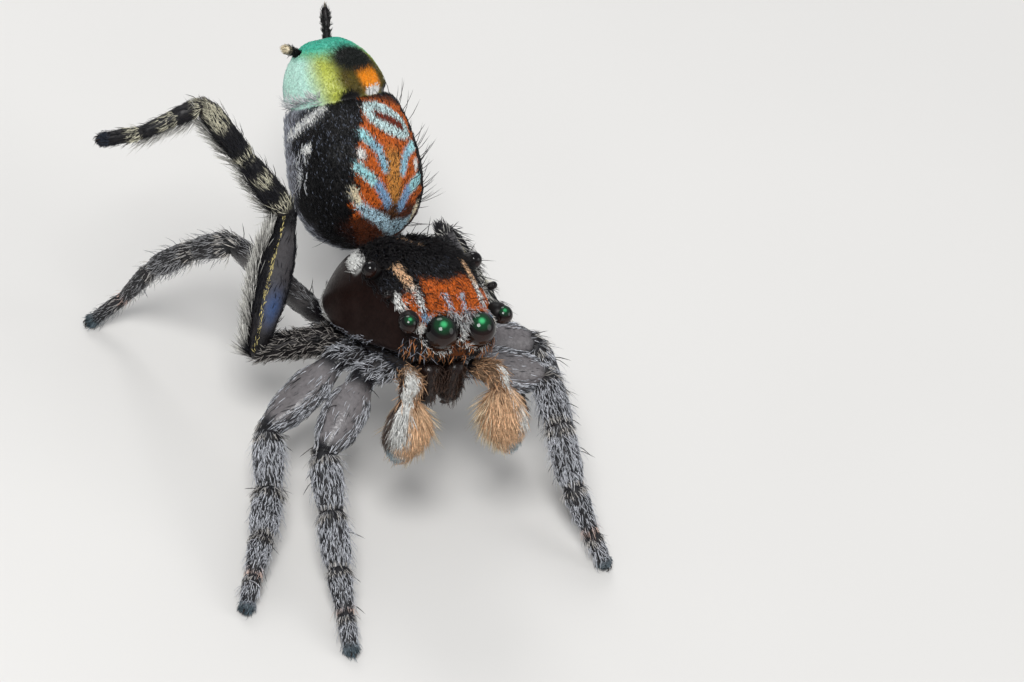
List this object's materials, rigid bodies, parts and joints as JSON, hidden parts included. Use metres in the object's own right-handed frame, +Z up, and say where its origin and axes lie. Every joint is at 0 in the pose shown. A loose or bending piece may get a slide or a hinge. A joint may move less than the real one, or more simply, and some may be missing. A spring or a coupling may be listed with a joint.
{
  "type": "peacock spider",
  "caption": "Life-size male peacock spider, one third leg and the patterned abdomen raised, standing on seven legs.",
  "frame": {"origin": "on the floor, under the middle of the whole outline", "axes": "+X to the spider's left, the head points to -Y, +Z up"},
  "size_m": [0.0056, 0.0068, 0.0038],
  "materials": {
    "shell": "gloss",
    "abdomen_skin": "satin",
    "dark_skin": "satin",
    "palp_hair": "matte",
    "leg_hair": "matte",
    "eye": "gloss"
  },
  "bodies": {
    "root": {"abdomen": "abdomen_skin", "carapace": "shell", "eye_front_l": "eye", "eye_front_r": "eye", "eye_rear_l": "eye", "eye_rear_r": "eye", "eye_side_l": "eye", "eye_side_r": "eye", "eye_small_l": "eye", "eye_small_r": "eye", "jaw_l": "shell", "jaw_r": "shell", "leg_l1_coxa": "leg_hair", "leg_l1_femur": "leg_hair", "leg_l1_tarsus": "leg_hair", "leg_l1_tibia": "leg_hair", "leg_l2_coxa": "leg_hair", "leg_l2_femur": "leg_hair", "leg_l2_tarsus": "leg_hair", "leg_l2_tibia": "leg_hair", "leg_l3_coxa": "leg_hair", "leg_l3_femur": "leg_hair", "leg_l3_tarsus": "leg_hair", "leg_l3_tibia": "leg_hair", "leg_l4_coxa": "leg_hair", "leg_l4_femur": "leg_hair", "leg_l4_tarsus": "leg_hair", "leg_l4_tibia": "leg_hair", "leg_r1_coxa": "leg_hair", "leg_r1_femur": "leg_hair", "leg_r1_tarsus": "leg_hair", "leg_r1_tibia": "leg_hair", "leg_r2_coxa": "leg_hair", "leg_r2_femur": "leg_hair", "leg_r2_tarsus": "leg_hair", "leg_r2_tibia": "leg_hair", "leg_r3_coxa": "leg_hair", "leg_r3_femur": "leg_hair", "leg_r3_tarsus": "leg_hair", "leg_r3_tibia": "leg_hair", "leg_r4_coxa": "leg_hair", "leg_r4_femur": "leg_hair", "leg_r4_tarsus": "leg_hair", "leg_r4_tibia": "leg_hair", "palp_l_arm": "palp_hair", "palp_l_brush": "palp_hair", "palp_r_arm": "palp_hair", "palp_r_brush": "palp_hair", "spinneret_low": "dark_skin", "spinnerets": "dark_skin", "sternum": "dark_skin", "waist": "dark_skin"}
  },
  "joints": []
}
